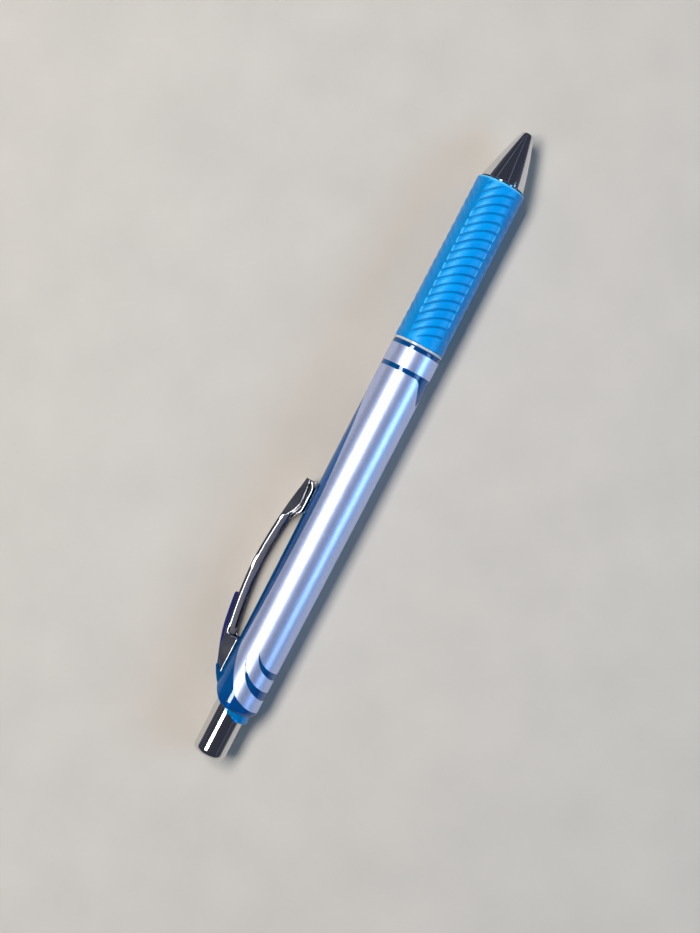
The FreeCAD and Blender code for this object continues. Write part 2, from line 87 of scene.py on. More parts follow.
# ------------------------------------------------------------------ sizes, in millimetres
LENGTH = (cad_high.x - cad_low.x) / MM
SKIN_GAP = 0.01
FINE = 0.05                 # small edge rounding on pressed and moulded parts

CONE_FRONT_R, CONE_REAR_S, CONE_REAR_R = 1.28, 11.7, 4.78
CONE_BELLY = (5.8, 3.22)
POINT_HOLE_R, CAVITY_R, SPRING_SEAT_S = 1.06, 1.95, 7.0
SPIGOT_R, SPIGOT_BORE_R, SPIGOT_END_S = 3.40, 2.80, 18.8

BARREL_FRONT_S, SHOULDER_S, TAPER_START_S, BARREL_END_S = 11.95, 49.75, 84.0, 133.1
GRIP_SEAT_R, BARREL_R, BARREL_END_R, END_ROUND = 4.35, 5.36, 5.15, 1.5
FRONT_BORE_R, REAR_BORE_R, BORE_STEP_S = 3.45, 4.33, 53.0
FIN_HALF_W, TONGUE_HALF_W = 2.85, 2.15
FIN_FRONT_S, FIN_FLOOR_H, FIN_REAR_S = 120.3, 4.0, 132.7
TONGUE_FRONT_H, TONGUE_REAR_H = 7.05, 6.30
FIN_STEP_S, FIN_TOP_H = 124.65, 7.2
CUT_MIDDLE, CUT_END = (130.1, 4.0), (134.3, -2.4)

GRIP_FRONT_S, GRIP_REAR_S, GRIP_FRONT_R, GRIP_R, GRIP_LIP = 11.95, 49.15, 5.36, 5.50, 0.6
RIB_PITCH, GROOVE_W, GROOVE_D = 2.0, 0.20, 0.19
PANEL_HALF, PANEL_TURN, PANEL_LEAN = 37.0, 90.0, 3.5     # degrees, degrees, and the grooves' slant
BEAD_START_S, BEAD_END_S = 19.6, 43.3

FILM_T = 0.04
BAND_START_S, BAND_END_S, FILM_START_S = 50.7, 54.8, 55.8

CLIP_FRONT, CLIP_FRONT_VIA, CLIP_CROWN = (83.8, 7.64), (94.0, 9.34), (104.1, 10.0)
CLIP_REAR_VIA, CLIP_ROOT = (114.9, 9.0), (124.3, 7.15)
CLIP_HALF_W, SHEET_T, EDGE_TURN = 2.45, 0.50, 0.35
CHEEK_FRONT_S, CHEEK_REAR_S, CHEEK_LOW_H, CHEEK_IN_W, CHEEK_OUT_W, CHEEK_ROUND = 119.8, 127.5, 4.80, 2.38, 2.83, 1.1
CHEEK_GAP = 0.35
PIVOT, PIVOT_R = (123.8, 5.85), 0.55
FOOT_H, FOOT_HALF_W = 5.46, 1.7
PAINTED_SHADE_FACING = -0.4        # faces that look towards the barrel get darker bluish chrome: painted shade and painted reflection of the barrel
COVER_T, COVER_START_S = 0.75, 111.4

SLEEVE_R, SLEEVE_BORE_R, SLEEVE_START_S, SLEEVE_END_S = 4.30, 3.90, 106.0, 135.0
NECK_START_S, NECK_R = 131.0, 3.63
BUTTON_R, BUTTON_WALL, BUTTON_FRONT_S, BUTTON_ROUND = 3.55, 0.35, 122.0, 1.3

SPRING_FRONT_S, SPRING_REAR_S, SPRING_WIRE_R, SPRING_COIL_R, SPRING_TURNS = 7.0, 19.0, 0.18, 2.30, 9


# ------------------------------------------------------------------ shapes
SAME_POINT = 1e-6


def arc(start, via, end, steps):
    """Points on the arc from start through via to end, without the start."""
    (ax, ay), (bx, by), (cx, cy) = start, via, end
    d = 2 * (ax * (by - cy) + bx * (cy - ay) + cx * (ay - by))
    a2, b2, c2 = ax * ax + ay * ay, bx * bx + by * by, cx * cx + cy * cy
    ox = (a2 * (by - cy) + b2 * (cy - ay) + c2 * (ay - by)) / d
    oy = (a2 * (cx - bx) + b2 * (ax - cx) + c2 * (bx - ax)) / d
    radius = math.hypot(ax - ox, ay - oy)
    first, middle, last = (math.atan2(y - oy, x - ox) for x, y in (start, via, end))
    turn = (last - first) % math.tau
    if (middle - first) % math.tau > turn:
        turn -= math.tau
    angles = [first + turn * k / steps for k in range(1, steps + 1)]
    return [(ox + radius * math.cos(a), oy + radius * math.sin(a)) for a in angles]


def outline(start, *steps, bend=12):
    """Points (s, h) of an outline. A step is a point, or a pair of points for an arc through the first."""
    points = [start]
    for step in steps:
        if isinstance(step[0], tuple):
            points += arc(points[-1], *step, bend)
        else:
            points.append(step)
    if math.dist(points[0], points[-1]) < SAME_POINT:
        points.pop()
    return points


def new_object(name, mesh_data):
    mesh = bpy.data.meshes.new(name)
    bmesh.ops.recalc_face_normals(mesh_data, faces=mesh_data.faces)
    mesh_data.to_mesh(mesh)
    mesh_data.free()
    thing = bpy.data.objects.new(name, mesh)
    bpy.context.scene.collection.objects.link(thing)
    return thing


def turned(name, points, segments=192):
    """A closed ring or solid turned about the pen's axis from (s, radius) points."""
    bm = bmesh.new()
    rings = []
    for s, r in points:
        count = segments if r > 0 else 1
        rings.append([bm.verts.new((-s, r * math.sin(math.tau * k / segments), r * math.cos(math.tau * k / segments)))
                      for k in range(count)])
    for here, there in zip(rings, rings[1:] + rings[:1]):
        if len(here) == 1 and len(there) == 1:
            continue
        for k in range(segments):
            after = (k + 1) % segments
            corners = [here[k % len(here)], here[after % len(here)], there[after % len(there)], there[k % len(there)]]
            bm.faces.new(list(dict.fromkeys(corners)))
    return new_object(name, bm)


def prism(name, points, w0, w1, rounding=0.0, sharp_deg=30.0):
    """An outline of the clip's plane given thickness across the clip, with its two rims rounded."""
    bm = bmesh.new()
    face = bm.faces.new([bm.verts.new((-s, w0, h)) for s, h in points])
    grown = bmesh.ops.extrude_face_region(bm, geom=[face])
    top = [v for v in grown["geom"] if isinstance(v, bmesh.types.BMVert)]
    bmesh.ops.translate(bm, verts=top, vec=(0, w1 - w0, 0))
    bmesh.ops.recalc_face_normals(bm, faces=bm.faces)
    if rounding:
        limit = math.radians(sharp_deg)
        edges = [e for e in bm.edges if e.is_manifold and e.calc_face_angle() > limit]
        bmesh.ops.bevel(bm, geom=edges, offset=rounding, segments=3, profile=0.5, affect="EDGES", clamp_overlap=True)
    return new_object(name, bm)


def both_sides(name, points, w0, w1, rounding=0.0):
    return combine(prism(name, points, w0, w1, rounding), "UNION", prism("far", points, -w1, -w0, rounding))


def combine(target, operation, *tools):
    """The target after a boolean with each tool. The tools are used up."""
    for tool in tools:
        change = target.modifiers.new("change", "BOOLEAN")
        change.operation, change.solver, change.object = operation, "EXACT", tool
        bpy.context.view_layer.update()
        result = bpy.data.meshes.new_from_object(target.evaluated_get(bpy.context.evaluated_depsgraph_get()))
        target.modifiers.clear()
        target.data = result
        bpy.data.objects.remove(tool)
    return target


def swept(name, path, section):
    """A closed section of (w, depth) points swept along a path of (s, h) points, depth measured from the path."""
    bm = bmesh.new()
    rings = []
    for k, (s, h) in enumerate(path):
        before, after = path[max(k - 1, 0)], path[min(k + 1, len(path) - 1)]
        ds, dh = after[0] - before[0], after[1] - before[1]
        size = math.hypot(ds, dh)
        out_s, out_h = -dh / size, ds / size
        rings.append([bm.verts.new((-(s - depth * out_s), w, h - depth * out_h)) for w, depth in section])
    count = len(section)
    for here, there in zip(rings, rings[1:]):
        for k in range(count):
            bm.faces.new((here[k], here[(k + 1) % count], there[(k + 1) % count], there[k]))
    bm.faces.new(rings[0])
    bm.faces.new(list(reversed(rings[-1])))
    return new_object(name, bm)


def finish_piece(thing, body, nodes, paint, sharp_deg=32.0):
    """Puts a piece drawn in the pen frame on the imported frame, smooths it, and gives it its material."""
    thing.data.transform(PEN)
    thing.data.shade_smooth()
    thing.data.set_sharp_from_angle(angle=math.radians(sharp_deg))
    normals = thing.modifiers.new("flat_faces_stay_flat", "WEIGHTED_NORMAL")
    normals.keep_sharp = True
    thing.data.materials.clear()
    thing.data.materials.append(paint.material)
    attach(thing, body)
    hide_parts(*nodes)
    return thing


# ------------------------------------------------------------------ materials
class Paint:
    """A principled material, with helpers that add procedural detail in the object's own coordinates."""

    def __init__(self, name, **values):
        self.material = bpy.data.materials.new(name)
        self.material.use_nodes = True
        self.tree = self.material.node_tree
        self.shader = self.tree.nodes["Principled BSDF"]
        for socket, value in values.items():
            self.shader.inputs[socket.replace("_", " ")].default_value = value
        self.place = self.add("ShaderNodeTexCoord").outputs["Object"]

    def add(self, kind, **values):
        node = self.tree.nodes.new(kind)
        for socket, value in values.items():
            node.inputs[socket.replace("_", " ")].default_value = value
        return node

    def link(self, source, target):
        self.tree.links.new(source, target)

    def stretched(self, scale):
        mapping = self.add("ShaderNodeMapping", Scale=scale)
        self.link(self.place, mapping.inputs["Vector"])
        return mapping.outputs["Vector"]

    def noise(self, scale, detail=3.0, stretch=(1, 1, 1)):
        noise = self.add("ShaderNodeTexNoise", Scale=scale, Detail=detail)
        self.link(self.stretched(stretch), noise.inputs["Vector"])
        return noise.outputs["Fac"]

    def waves(self, attribute, scale):
        """Fine lines, scale of them for each unit of a float stored on the mesh."""
        source = self.add("ShaderNodeAttribute")
        source.attribute_name = attribute
        times = self.add("ShaderNodeMath")
        times.operation = "MULTIPLY"
        times.inputs[1].default_value = scale * math.tau
        sine = self.add("ShaderNodeMath")
        sine.operation = "SINE"
        self.link(source.outputs["Fac"], times.inputs[0])
        self.link(times.outputs[0], sine.inputs[0])
        return sine.outputs[0]

    def stored(self, attribute):
        source = self.add("ShaderNodeAttribute")
        source.attribute_name = attribute
        return source.outputs["Fac"]

    def ramp(self, factor, low, high, low_at=0.0, high_at=1.0):
        """A colour that runs from low to high as factor goes from low_at to high_at."""
        ramp = self.add("ShaderNodeValToRGB")
        ramp.color_ramp.elements[0].position, ramp.color_ramp.elements[1].position = low_at, high_at
        ramp.color_ramp.elements[0].color, ramp.color_ramp.elements[1].color = (*low, 1), (*high, 1)
        self.link(factor, ramp.inputs["Fac"])
        return ramp.outputs["Color"]

    def blend(self, factor, first, second):
        mix = self.add("ShaderNodeMix")
        mix.data_type = "RGBA"
        self.link(factor, mix.inputs["Factor"])
        self.link(first, mix.inputs["A"])
        self.link(second, mix.inputs["B"])
        return mix.outputs["Result"]

    def colour(self, value):
        self.link(value, self.shader.inputs["Base Color"])
        return self

    def range(self, factor, low, high, socket="Roughness"):
        spread = self.add("ShaderNodeMapRange")
        spread.inputs["To Min"].default_value, spread.inputs["To Max"].default_value = low, high
        self.link(factor, spread.inputs["Value"])
        self.link(spread.outputs["Result"], self.shader.inputs[socket])
        return self

    def bump(self, height, depth_mm, strength=1.0):
        bump = self.add("ShaderNodeBump", Strength=strength, Distance=depth_mm * MM)
        self.link(height, bump.inputs["Height"])
        self.link(bump.outputs["Normal"], self.shader.inputs["Normal"])
        return self


def chrome(name, tint=(0.78, 0.78, 0.80)):
    """Bright plating with faint polishing marks along the pen and small dull spots."""
    paint = Paint(name, Metallic=1.0, Specular_Tint=(1, 1, 1, 1))
    marks = paint.noise(900.0, 4.0, (0.15, 1, 1))
    paint.colour(paint.ramp(marks, [c * 0.93 for c in tint], tint, 0.3, 0.7))
    return paint.range(paint.noise(260.0, 4.0), 0.035, 0.11).bump(marks, 0.002, 0.15)


def clear_plastic(name, dark, light, transmission, roughness=(0.03, 0.09)):
    """Tinted see-through plastic with slight swirls in the tint and a few fine scuffs."""
    paint = Paint(name, IOR=1.49, Transmission_Weight=transmission)
    swirl = paint.noise(120.0, 3.0, (0.4, 1, 1))
    paint.colour(paint.ramp(swirl, dark, light, 0.25, 0.75))
    return paint.range(paint.noise(700.0, 5.0, (0.3, 1, 1)), *roughness)


def moulded(name, dark, light, roughness=(0.35, 0.5)):
    paint = Paint(name, IOR=1.5)
    paint.colour(paint.ramp(paint.noise(180.0, 3.0), dark, light, 0.3, 0.7))
    return paint.range(paint.noise(500.0, 3.0), *roughness).bump(paint.noise(2500.0, 2.0), 0.004, 0.2)


def steel(name, dark, light, roughness=(0.16, 0.3), stretch=(1, 1, 1)):
    paint = Paint(name, Metallic=1.0)
    lines = paint.noise(1600.0, 3.0, stretch)
    paint.colour(paint.ramp(lines, dark, light, 0.3, 0.7))
    return paint.range(lines, *roughness).bump(lines, 0.003, 0.2)


nose_paint = chrome("nose_chrome_plate")
clip_paint = chrome("clip_chrome_plate")
button_paint = chrome("button_chrome_plate", (0.76, 0.75, 0.75))
barrel_paint = clear_plastic("barrel_tinted_plastic", (0.0, 0.11, 0.42), (0.0, 0.20, 0.58), 0.7)
collar_paint = clear_plastic("collar_tinted_plastic", (0.0, 0.36, 0.86), (0.0, 0.48, 0.95), 0.7)
cover_paint = clear_plastic("cover_tinted_plastic", (0.02, 0.02, 0.15), (0.04, 0.05, 0.24), 0.45)
ring_paint = clear_plastic("pale_ring_plastic", (0.62, 0.74, 0.84), (0.76, 0.86, 0.93), 0.35, (0.08, 0.16))

film_paint = Paint("satin_metal_film", Metallic=0.80, Coat_Weight=0.12, Coat_Roughness=0.08)
flakes = film_paint.noise(5200.0, 2.0, (0.35, 1, 1))
film_paint.colour(film_paint.ramp(flakes, (0.46, 0.54, 0.82), (0.60, 0.67, 0.94), 0.3, 0.7))
film_paint.range(film_paint.noise(350.0, 4.0), 0.33, 0.41).bump(flakes, 0.002, 0.12)

grip_paint = Paint("grip_rubber", IOR=1.47, Coat_Weight=0.1, Coat_Roughness=0.25, Subsurface_Weight=0.25,
                   Specular_Tint=(0.25, 0.85, 1.0, 1),
                   Subsurface_Radius=(0.2, 0.8, 1.0), Subsurface_Scale=0.6 * MM)
mottle = grip_paint.noise(320.0, 3.0)
crest = grip_paint.ramp(mottle, (0.0, 0.26, 0.68), (0.0, 0.32, 0.78), 0.3, 0.7)
# depth is the painted shade colour used in the grooves and on the grip's sides
depth = grip_paint.ramp(mottle, (0.0, 0.125, 0.34), (0.0, 0.155, 0.41), 0.3, 0.7)
# painted highlight: a lighter colour laid along the beads and the front lip
painted_glint_colour = grip_paint.ramp(mottle, (0.08, 0.50, 0.85), (0.15, 0.60, 0.92), 0.3, 0.7)
# the groove attribute blends in painted shade: darker in the grooves and on the grip's sides
body = grip_paint.blend(grip_paint.stored("groove"), crest, depth)
# the painted glint lightens the beads and the front lip
grip_paint.colour(grip_paint.blend(grip_paint.stored("painted_glint"), body, painted_glint_colour))
grip_paint.range(grip_paint.noise(900.0, 3.0), 0.30, 0.42)
grip_paint.bump(grip_paint.waves("rib", 5.0), 0.03, 0.5)


# ------------------------------------------------------------------ nose cone
cone_points = outline((0, POINT_HOLE_R), (0, CONE_FRONT_R - FINE), (FINE, CONE_FRONT_R),
                      (CONE_BELLY, (CONE_REAR_S - FINE, CONE_REAR_R)), (CONE_REAR_S, CONE_REAR_R - FINE),
                      (CONE_REAR_S, SPIGOT_R), (SPIGOT_END_S - 0.2, SPIGOT_R), (SPIGOT_END_S, SPIGOT_R - 0.2),
                      (SPIGOT_END_S, SPIGOT_BORE_R), (SPRING_SEAT_S, SPIGOT_BORE_R), (SPRING_SEAT_S, CAVITY_R),
                      (3.3, CAVITY_R), (2.5, POINT_HOLE_R), bend=28)
finish_piece(turned("nose_cone_shell", cone_points), "nose", ["nose_cone"], nose_paint)


# ------------------------------------------------------------------ grip
GRIP_ROWS, GRIP_COLUMNS = 360, 256
PANEL_CENTRE = TOP_ANGLE + 4.0
FAINT_SHARE = 0.35          # how deep the grooves of the panels on the grip's sides are
SIDE_SHADE = 0.5            # painted shade: the sides are coloured as dark as grooves of this depth share
BEAD_HALF_DEG = 1.5
TAIL_LENGTH, TAIL_DROP = 0.25, 0.15
RIB_DOME, BEAD_H = 0.07, 0.10
CREST_DROP = 0.05           # the ribs stay this far inside the sleeve's outer radius, which the beads reach


def smooth_step(x):
    x = min(1.0, max(0.0, x))
    return x * x * (3 - 2 * x)


def panel_place(angle):
    """(0 to 1 across a panel in the direction its grooves lean, degrees outside it, depth share of its grooves)."""
    near = (angle - PANEL_CENTRE + PANEL_TURN / 2) % (2 * PANEL_TURN) - PANEL_TURN / 2
    share = 1.0
    if near > PANEL_TURN / 2:
        near, share = PANEL_TURN - near, FAINT_SHARE
    across = (PANEL_HALF - near) / (2 * PANEL_HALF)
    return min(1.0, max(0.0, across)), max(0.0, abs(near) - PANEL_HALF), share


def grip_radius(s):
    """The sleeve's outer radius, with its rounded front lip."""
    run = (s - GRIP_FRONT_S) / (GRIP_REAR_S - GRIP_FRONT_S)
    radius = GRIP_FRONT_R + run * (GRIP_R - GRIP_FRONT_R)
    lip = max(0.0, 1 - (s - GRIP_FRONT_S) / GRIP_LIP)
    tail = max(0.0, 1 - (GRIP_REAR_S - s) / TAIL_LENGTH)
    return radius - GRIP_LIP * (1 - math.sqrt(1 - lip * lip)) - TAIL_DROP * tail * tail


def grip_relief(s, angle):
    """(height below the outer radius, painted groove and side shade, place along the fine lines, painted glint)."""
    across, outside, share = panel_place(angle)
    lean = PANEL_LEAN * across ** 1.8
    ends = smooth_step((s - GRIP_FRONT_S - 0.5) / 0.9) * smooth_step((GRIP_REAR_S - 0.9 - s) / 1.2)
    place = (s - lean) / RIB_PITCH
    from_groove = abs(place - round(place)) * RIB_PITCH
    groove = math.exp(-((from_groove / GROOVE_W) ** 2)) * ends
    groove *= share + (0.3 * FAINT_SHARE - share) * smooth_step(outside / 3.0)
    dome = 1 - (2 * from_groove / RIB_PITCH) ** 2
    drop = CREST_DROP + RIB_DOME * dome * ends + GROOVE_D * groove
    painted_glint = 0.0
    edge = abs(outside - BEAD_HALF_DEG) if outside > 0 else PANEL_TURN
    # the beads are real ridges, and their colour is also lightened as a painted glint
    if share == 1.0 and BEAD_START_S < s < BEAD_END_S and edge < BEAD_HALF_DEG:
        bead = (1 - (edge / BEAD_HALF_DEG) ** 2) * (1 - min(1.0, 3 * math.exp(-((from_groove / 0.25) ** 2))))
        drop -= BEAD_H * bead
        painted_glint = bead
    # painted shade on the grip's sides, beyond the ribbed panels
    shade = SIDE_SHADE if share < 1 else SIDE_SHADE * smooth_step(outside / 2.0)
    # the last value is the painted glint on the beads and at the front lip
    return max(0.0, drop), max(groove, shade), place, max(painted_glint, 1 - smooth_step((s - GRIP_FRONT_S - 0.35) / 0.3))


def make_grip():
    bm = bmesh.new()
    groove_and_side_shade_layer = bm.verts.layers.float.new("groove")
    rib_layer = bm.verts.layers.float.new("rib")
    painted_glint_layer = bm.verts.layers.float.new("painted_glint")
    rows = []
    inner_r = GRIP_SEAT_R + SKIN_GAP
    levels = [GRIP_FRONT_S + (GRIP_REAR_S - GRIP_FRONT_S) * k / GRIP_ROWS for k in range(GRIP_ROWS + 1)]
    for s, inner in [(GRIP_FRONT_S, True)] + [(s, False) for s in levels] + [(GRIP_REAR_S, True)]:
        row = []
        for k in range(GRIP_COLUMNS):
            angle = 360.0 * k / GRIP_COLUMNS
            drop, groove, place, painted_glint = (0.0, 0.0, 0.0, 0.0) if inner else grip_relief(s, angle)
            radius = inner_r if inner else max(inner_r + 0.2, grip_radius(s) - drop)
            turn = math.radians(angle)
            vert = bm.verts.new((-s, -radius * math.sin(turn), radius * math.cos(turn)))
            vert[groove_and_side_shade_layer] = groove
            vert[rib_layer] = place
            vert[painted_glint_layer] = painted_glint
            row.append(vert)
        rows.append(row)
    for here, there in zip(rows, rows[1:] + rows[:1]):
        for k in range(GRIP_COLUMNS):
            after = (k + 1) % GRIP_COLUMNS
            bm.faces.new((here[k], here[after], there[after], there[k]))
    return new_object("grip_sleeve_ribbed", bm)


finish_piece(make_grip(), "barrel", ["grip_sleeve"], grip_paint, 60.0)


# ------------------------------------------------------------------ barrel
def barrel_r(s):
    run = max(0.0, (s - TAPER_START_S) / (BARREL_END_S - TAPER_START_S))
    return BARREL_R + run * (BARREL_END_R - BARREL_R)


def rear_cut():
    """Everything behind the slanting, curved rear end of the barrel and its collar."""
    far_s, far_h, low_h = LENGTH + 5, 20.0, CUT_END[1] - 1.0
    return prism("rear_cut", outline((FIN_STEP_S, FIN_TOP_H), (CUT_MIDDLE, CUT_END), (SLEEVE_END_S + 0.5, low_h),
                                     (far_s, low_h), (far_s, far_h), (FIN_STEP_S, far_h), bend=24), -far_h, far_h)


def cheek_pockets():
    """Room beside the fin's tongue for the clip's cheeks; the pivot's bosses are put back across it afterwards."""
    low, rear = CHEEK_LOW_H - CHEEK_GAP, CHEEK_REAR_S + 1.6 * CHEEK_GAP
    points = outline((FIN_FRONT_S - 1, low), (PIVOT[0], low), (rear, CHEEK_LOW_H - 1.7 * CHEEK_GAP),
                     (rear, CHEEK_LOW_H), (FIN_STEP_S + 1.6 * CHEEK_GAP, FIN_TOP_H + 0.5), (FIN_FRONT_S - 1, 10.0))
    return both_sides("pockets", points, TONGUE_HALF_W, FIN_HALF_W + 1)


def fin():
    points = outline((FIN_FRONT_S, FIN_FLOOR_H), (FIN_FRONT_S, TONGUE_FRONT_H), (FIN_STEP_S - 0.1, TONGUE_REAR_H),
                     (FIN_STEP_S, FIN_TOP_H), (FIN_REAR_S, FIN_TOP_H), (FIN_REAR_S, FIN_FLOOR_H))
    return combine(prism("fin", points, -FIN_HALF_W, FIN_HALF_W), "DIFFERENCE", cheek_pockets(),
                   turned("bore", [(100, 0), (100, REAR_BORE_R), (LENGTH, REAR_BORE_R), (LENGTH, 0)]))


def pivot_bosses(radius, reach):
    """A round bar across the clip at its pivot."""
    ring = [(PIVOT[0] + radius * math.cos(math.tau * k / 32), PIVOT[1] + radius * math.sin(math.tau * k / 32))
            for k in range(32)]
    return prism("pivot", ring, -reach, reach)


end_s = BARREL_END_S
barrel_points = outline(
    (BARREL_FRONT_S, FRONT_BORE_R), (BARREL_FRONT_S, GRIP_SEAT_R - 0.3), (BARREL_FRONT_S + 0.3, GRIP_SEAT_R),
    (SHOULDER_S, GRIP_SEAT_R), (SHOULDER_S, BARREL_R - 0.25),
    ((SHOULDER_S + 0.07, BARREL_R - 0.07), (SHOULDER_S + 0.25, BARREL_R)), (TAPER_START_S, BARREL_R),
    (end_s - END_ROUND, barrel_r(end_s - END_ROUND)),
    ((end_s - 0.3 * END_ROUND, BARREL_END_R - 0.3), (end_s, REAR_BORE_R + 0.1)), (end_s, REAR_BORE_R),
    (BORE_STEP_S + 1.0, REAR_BORE_R), (BORE_STEP_S, FRONT_BORE_R), bend=10)
SKIN_SEGMENTS = 288         # shared by the barrel and its films, so that their facets run side by side
barrel = turned("main_barrel_shell", barrel_points, SKIN_SEGMENTS)
combine(barrel, "DIFFERENCE", cheek_pockets())
combine(barrel, "UNION", fin(), pivot_bosses(PIVOT_R, CHEEK_IN_W + 0.15))
combine(barrel, "DIFFERENCE", rear_cut())
finish_piece(barrel, "barrel", ["main_barrel"], barrel_paint)

ring_points = outline((GRIP_REAR_S + 0.03, GRIP_SEAT_R + SKIN_GAP), (GRIP_REAR_S + 0.03, GRIP_R - 0.12),
                      ((GRIP_REAR_S + 0.06, GRIP_R - 0.06), (GRIP_REAR_S + 0.15, GRIP_R - 0.04)),
                      (SHOULDER_S - 0.15, GRIP_R - 0.04),
                      ((SHOULDER_S - 0.06, GRIP_R - 0.06), (SHOULDER_S - 0.03, GRIP_R - 0.12)),
                      (SHOULDER_S - 0.03, GRIP_SEAT_R + SKIN_GAP), bend=4)
finish_piece(turned("grip_ring_band", ring_points), "barrel", ["grip_ring"], ring_paint)


# ------------------------------------------------------------------ films
def film(name, *outlines):
    """A thin skin on the barrel wherever the first outline, seen from the side, covers it and the others don't."""
    start, end = BAND_START_S - 5, BARREL_END_S - END_ROUND
    low, high = SKIN_GAP, SKIN_GAP + FILM_T
    skin = turned(name, [(start, BARREL_R + low), (start, BARREL_R + high), (TAPER_START_S, BARREL_R + high),
                         (end, barrel_r(end) + high), (end, barrel_r(end) + low), (TAPER_START_S, BARREL_R + low)],
                  SKIN_SEGMENTS)
    combine(skin, "INTERSECT", prism("shown", outlines[0], -10, 10))
    return combine(skin, "DIFFERENCE", *(prism("gap", points, -10, 10) for points in outlines[1:]))


def crescent(tip, rear, front):
    """A curved blade that opens from its tip round the side away from the clip."""
    rear_via = (tip[0] + 0.68 * (rear[0] - tip[0]), tip[1] + 0.42 * (rear[1] - tip[1]))
    front_via = (tip[0] + 0.72 * (front[0] - tip[0]), tip[1] + 0.46 * (front[1] - tip[1]))
    return outline(tip, (rear_via, rear), (rear[0], -9), (front[0], -9), front, (front_via, tip), bend=16)


band_outline = [(BAND_START_S, -9), (BAND_START_S, 9), (BAND_END_S, 9), (BAND_END_S, -9)]
film_outline = outline((FILM_START_S, -3.9), (FILM_START_S, 9), (60.5, 9), (60.8, 5.3), ((66.0, 4.05), (72.0, 3.3)),
                       ((79.0, 2.7), (86.0, 2.3)), ((108.0, 2.66), (120.0, 3.2)), ((126.0, 1.31), (129.85, -1.19)),
                       ((131.2, -3.6), (132.0, -9.0)), (64.5, -9.0), (64.0, -5.43), ((59.3, -5.22), (57.0, -4.78)),
                       ((56.2, -4.45), (FILM_START_S, -3.9)), bend=24)
finish_piece(film("band_film", band_outline), "barrel", ["band_foil"], film_paint)
long_film = film("barrel_film", film_outline, crescent((119.4, -1.5), (124.1, -5.2), (122.6, -5.2)),
                 crescent((121.6, 0.35), (128.8, -5.2), (126.9, -5.2)))
finish_piece(long_film, "barrel", ["barrel_foil"], film_paint)


# ------------------------------------------------------------------ clip
def clip_line(drop, bend=24):
    """The clip's outer edge, lowered by drop."""
    lowered = [(s, h - drop) for s, h in (CLIP_FRONT, CLIP_FRONT_VIA, CLIP_CROWN, CLIP_REAR_VIA, CLIP_ROOT)]
    return outline(lowered[0], (lowered[1], lowered[2]), (lowered[3], lowered[4]), bend=bend)


def channel_section():
    """Across the clip's arm: a sheet with rounded shoulders whose long edges turn down."""
    r, wide, deep = 0.16, CLIP_HALF_W, SHEET_T + EDGE_TURN
    half = [(0.0, 0.0), (wide - 3 * r, 0.02), (wide - r, 0.06), (wide - 0.3 * r, 0.06 + 0.3 * r), (wide, 0.06 + r),
            (wide, deep - 0.12), (wide - 0.04, deep - 0.04), (wide - 0.12, deep), (wide - SHEET_T + 0.12, deep),
            (wide - SHEET_T + 0.04, deep - 0.04), (wide - SHEET_T, deep - 0.12), (wide - SHEET_T, SHEET_T + 0.15),
            (wide - SHEET_T - 0.05, SHEET_T + 0.05), (wide - SHEET_T - 0.15, SHEET_T), (0.0, SHEET_T)]
    return half + [(-w, depth) for w, depth in reversed(half[1:-1])]


def make_clip():
    flare = outline(CLIP_FRONT, (CLIP_FRONT[0] + 0.1, 6.75), (88.0, 6.26), ((91.3, 7.1), (92.9, 8.3)), (92.9, 8.95))
    foot = outline((84.1, 7.4), (84.1, 6.4), ((84.9, 5.75), (86.3, FOOT_H)), (89.9, FOOT_H),
                   ((91.2, 5.9), (91.8, 7.0)), (91.8, 8.65))
    cheek = outline((CHEEK_FRONT_S, CHEEK_LOW_H), (CHEEK_FRONT_S, 7.0),
                    ((CHEEK_FRONT_S - 0.3 * CHEEK_ROUND, 7.4), (CHEEK_FRONT_S - CHEEK_ROUND, 7.65)),
                    (CHEEK_FRONT_S - CHEEK_ROUND, 8.1), (CLIP_ROOT[0], CLIP_ROOT[1] - 0.02),
                    (CLIP_ROOT[0] + 0.4, CLIP_ROOT[1] - 0.25), (CHEEK_REAR_S, CHEEK_LOW_H), bend=6)
    shelf = outline((CHEEK_FRONT_S - CHEEK_ROUND, 8.1), (CLIP_ROOT[0], CLIP_ROOT[1] - 0.02),
                    (CLIP_ROOT[0], CLIP_ROOT[1] - SHEET_T), (CHEEK_FRONT_S - CHEEK_ROUND, 8.1 - SHEET_T))
    arm = swept("pocket_clip_spring", clip_line(0.0), channel_section())
    room = [(CHEEK_FRONT_S + 0.2, 0), (CHEEK_FRONT_S + 0.2, 6.55), (LENGTH, 6.55), (LENGTH, 0)]
    combine(arm, "UNION", both_sides("flare", flare, CLIP_HALF_W - SHEET_T, CLIP_HALF_W, 0.06),
            prism("foot", foot, -FOOT_HALF_W, FOOT_HALF_W, 0.2), prism("shelf", shelf, -CHEEK_OUT_W, CHEEK_OUT_W, 0.06),
            both_sides("cheek", cheek, CHEEK_IN_W, CHEEK_OUT_W, 0.07))
    return combine(arm, "DIFFERENCE", prism("room", room, -CHEEK_IN_W, CHEEK_IN_W),
                   pivot_bosses(PIVOT_R + 0.08, CHEEK_IN_W + 0.25))


clip = finish_piece(make_clip(), "clip", ["pocket_clip"], clip_paint)
# painted shade and painted reflection: a darker, bluish chrome on the clip's faces that look towards the barrel
clip.data.materials.append(chrome("clip_painted_shade_plate", (0.20, 0.22, 0.34)).material)
for face in clip.data.polygons:
    if face.normal.dot(CLIP_SIDE) < PAINTED_SHADE_FACING:
        face.material_index = 1

